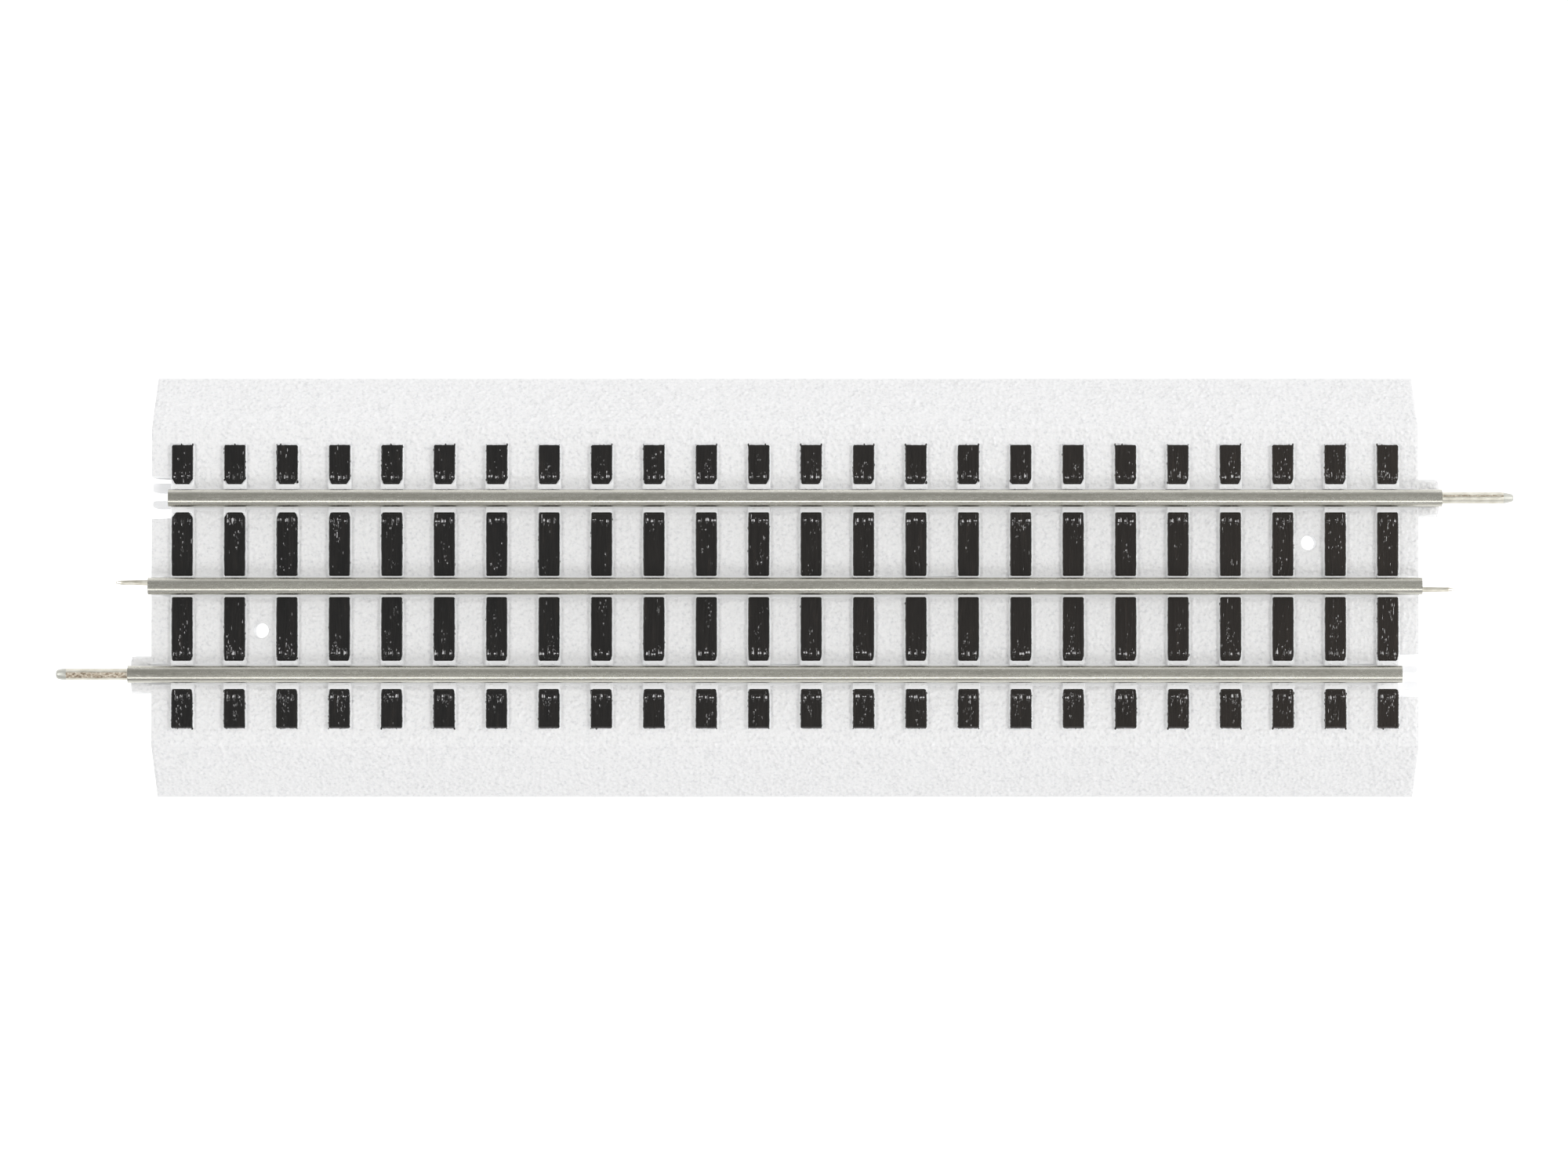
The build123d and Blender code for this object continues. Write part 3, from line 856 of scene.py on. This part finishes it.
def makePin(node, name, side):
    bm = bmesh.new()
    low, high = boxOf(node)
    tipX = high.x if side > 0 else low.x
    mouth = railEnds[side]
    pinY = side * runningY
    free = abs(tipX - mouth)
    seamY, seamWidth = pinSeams[node]
    taper, tipRadius = pinTips[node]
    endLength, endDepth = pinShape["endRound"]
    bmesh.ops.create_circle(bm, segments=pinShape["around"], radius=1.0)
    bmesh.ops.rotate(bm, matrix=Matrix.Rotation(math.radians(90), 3, "Y"), verts=bm.verts)
    rim = list(bm.edges)
    stride = (free + pinShape["start"]) / pinShape["rings"]
    for _ in range(pinShape["rings"]):
        out = bmesh.ops.extrude_edge_only(bm, edges=rim)["geom"]
        ends = {g for g in out if isinstance(g, bmesh.types.BMVert)}
        bmesh.ops.translate(bm, vec=(stride, 0, 0), verts=list(ends))
        rim = [e for e in {e for v in ends for e in v.link_edges} if all(p in ends for p in e.verts)]
    bmesh.ops.holes_fill(bm, edges=bm.edges)
    for v in bm.verts:
        along = v.co.x - pinShape["start"]
        dy, dz = v.co.y, v.co.z
        toTip = free - along
        size = pinShape["radius"]
        if toTip < taper:
            t = max(0.0, toTip / taper)
            size = tipRadius + (size - tipRadius) * math.sin(t * math.pi / 2)
        if toTip < endLength:
            size -= endDepth * (1 - max(0.0, toTip) / endLength) ** 2
        across = dy * size
        centre = pinShape["radius"] - seamY + 0.08 * noise.noise(Vector((along * 1.2, 0, 3)))
        width = seamWidth * (0.5 + 0.35 * noise.noise(Vector((along * 2.5, 4, 0))))
        depth = 0.0
        if dz > 0:
            inside = 1 - smoothStep(width * 0.7, width, abs(across - centre))
            rough = 0.55 + 0.45 * noise.noise(Vector((along * 2.2, across * 5, 1)))
            depth = pinShape["grooveDepth"] * inside * rough * smoothStep(*pinShape["grooveEnd"], toTip)
        v.co.x = mouth + side * along
        v.co.y = pinY + dy * size
        v.co.z = railMiddleZ + dz * size - depth
    for f in bm.faces:
        middle = f.calc_center_median()
        offSeam = abs(middle.y - pinY - pinShape["radius"] + seamY)
        if abs(middle.x - tipX) < pinShape["smoothTip"]:
            f.material_index = 2
        elif middle.z > railMiddleZ and offSeam < seamWidth * 0.5:
            f.material_index = 1
    bmesh.ops.recalc_face_normals(bm, faces=bm.faces)
    wide, tall = pinShape["heldSize"]
    xs = sorted((mouth - side * pinShape["held"], mouth - side * pinShape["heldStart"]))
    roundedBlock(
        bm, (xs[0], pinY - wide / 2, railMiddleZ - tall / 2),
        (xs[1], pinY + wide / 2, railMiddleZ + tall / 2), 0.4, 3,
    )
    finishPiece(bm, name, [pinNickel, shearedEdge, pinTipNickel], node, 40)


railEnds = {1: boxOf("rail_north")[1].x, -1: boxOf("rail_south")[0].x}
makePin("pin_east", "pinEast", 1)
makePin("pin_west", "pinWest", -1)

# blades: flat strips with rolled edges, drawn in towards the tip
bladeShape = {
    "length": 7.4, "steps": 16, "width": 1.05, "height": 2.0, "nose": 1.2, "tipWidth": 0.5,
    "aside": 0.69,             # each blade lies this far to one side of the middle
}


def makeBlade(node, name, side):
    bm = bmesh.new()
    low, high = boxOf(node)
    tipX = high.x if side > 0 else low.x
    middle = -side * bladeShape["aside"]
    half, tall = bladeShape["width"] / 2, bladeShape["height"] / 2
    roundedBlock(bm, (0, -half, -tall), (bladeShape["length"], half, tall), 0.16, 2)
    for step in range(1, bladeShape["steps"]):
        x = bladeShape["length"] * step / bladeShape["steps"]
        everything = bm.verts[:] + bm.edges[:] + bm.faces[:]
        bmesh.ops.bisect_plane(bm, geom=everything, plane_co=(x, 0, 0), plane_no=(1, 0, 0))
    for v in bm.verts:
        toTip = bladeShape["length"] - v.co.x
        narrow = bladeShape["tipWidth"]
        pull = narrow + (1 - narrow) * smoothStep(0, bladeShape["nose"], toTip)
        slim = 0.80 + 0.20 * smoothStep(1.0, bladeShape["length"], toTip)
        v.co.y *= pull * slim
        v.co.y += 0.03 * noise.noise(Vector((v.co.x * 0.8, side, 0)))
        v.co.z *= 0.75 + 0.25 * smoothStep(0, bladeShape["nose"], toTip)
        v.co = Vector((tipX - side * toTip, middle + v.co.y, railMiddleZ + v.co.z))
    bmesh.ops.recalc_face_normals(bm, faces=bm.faces)
    finishPiece(bm, name, [pinNickel], node, 40)


makeBlade("blade_east", "bladeEast", 1)
makeBlade("blade_west", "bladeWest", -1)
print("pins made")

# straps and terminals keep their own shape
for node in ("jumper_east", "jumper_west", "terminal_north", "terminal_centre", "terminal_south"):
    mesh = frame["nodes"][node].data
    mesh.materials.clear()
    mesh.materials.append(strapSteel)
print("straps finished")


# floor, light and camera
def makeFloorPiece():
    bm = bmesh.new()
    bmesh.ops.create_grid(bm, x_segments=1, y_segments=1, size=studio["floorHalf"])
    mesh = bpy.data.meshes.new("floor")
    bm.to_mesh(mesh)
    bm.free()
    floor = bpy.data.objects.new("floor", mesh)
    bpy.context.collection.objects.link(floor)
    floor.location.z = -studio["floorDrop"]
    mesh.materials.append(makeFloor())


def addLight(name, place, size, power):
    data = bpy.data.lights.new(name, "AREA")
    data.shape = "RECTANGLE"
    data.size, data.size_y = size
    data.energy = power
    light = bpy.data.objects.new(name, data)
    light.location = place
    aim = Vector(studio["target"]) - Vector(place)
    light.rotation_euler = aim.to_track_quat("-Z", "Y").to_euler()
    bpy.context.collection.objects.link(light)


# brightness by height, and how much it gains towards the far side and the right
studio = {
    "sky": [
        (0.0, (0.95, 0.95, 0.96)), (0.35, (0.72, 0.72, 0.73)),
        (0.7, (0.40, 0.40, 0.40)), (0.95, (0.36, 0.36, 0.352)),
    ],
    "farGain": 0.4,
    "rightGain": 0.7,
    "floorHalf": 3.0,
    "floorDrop": 0.0002,
    "target": (0, 0, 0.01),
}
lights = {      # place, size and watts
    "leftBox": ((-1.0, 0.05, 1.0), (0.42, 0.42), 6.9),
    "rightBox": ((1.0, 0.05, 1.0), (0.42, 0.42), 6.9),
    "nearStrip": ((0.0, -0.56, 1.41), (1.0, 0.45), 3.9),
}


def makeWorld():
    world = bpy.data.worlds.new("studio")
    bpy.context.scene.world = world
    world.use_nodes = True
    nodes, links = world.node_tree.nodes, world.node_tree.links
    coords = nodes.new("ShaderNodeTexCoord")
    split = nodes.new("ShaderNodeSeparateXYZ")
    links.new(coords.outputs["Generated"], split.inputs["Vector"])
    tone = ramp(nodes, links, split.outputs["Z"], studio["sky"])
    far = nodes.new("ShaderNodeMath")
    far.operation = "MULTIPLY_ADD"
    far.inputs[1].default_value = studio["farGain"]
    far.inputs[2].default_value = 1.0
    ahead = nodes.new("ShaderNodeMath")
    ahead.operation = "MAXIMUM"
    ahead.inputs[1].default_value = 0.0
    links.new(split.outputs["Y"], ahead.inputs[0])
    links.new(ahead.outputs["Value"], far.inputs[0])
    side = nodes.new("ShaderNodeMath")
    side.operation = "MULTIPLY_ADD"
    side.inputs[1].default_value = studio["rightGain"]
    links.new(split.outputs["X"], side.inputs[0])
    links.new(far.outputs["Value"], side.inputs[2])
    links.new(tone.outputs["Color"], nodes["Background"].inputs["Color"])
    links.new(side.outputs["Value"], nodes["Background"].inputs["Strength"])


cameraPlace = {
    "lens": 116.3, "sensor": 36.0, "clip": 0.05, "elevation": 88.911, "at": (-0.0002, -0.01957, 1.027),
}


def makeCamera():
    data = bpy.data.cameras.new("camera")
    data.lens = cameraPlace["lens"]
    data.sensor_width = cameraPlace["sensor"]
    data.clip_start = cameraPlace["clip"]
    camera = bpy.data.objects.new("camera", data)
    camera.location = cameraPlace["at"]
    camera.rotation_euler = (math.radians(90 - cameraPlace["elevation"]), 0, 0)
    bpy.context.collection.objects.link(camera)
    bpy.context.scene.camera = camera


makeFloorPiece()
makeWorld()
for name, (place, size, power) in lights.items():
    addLight(name, place, size, power)
makeCamera()
bpy.context.scene.view_settings.view_transform = "Standard"
print("stage made")
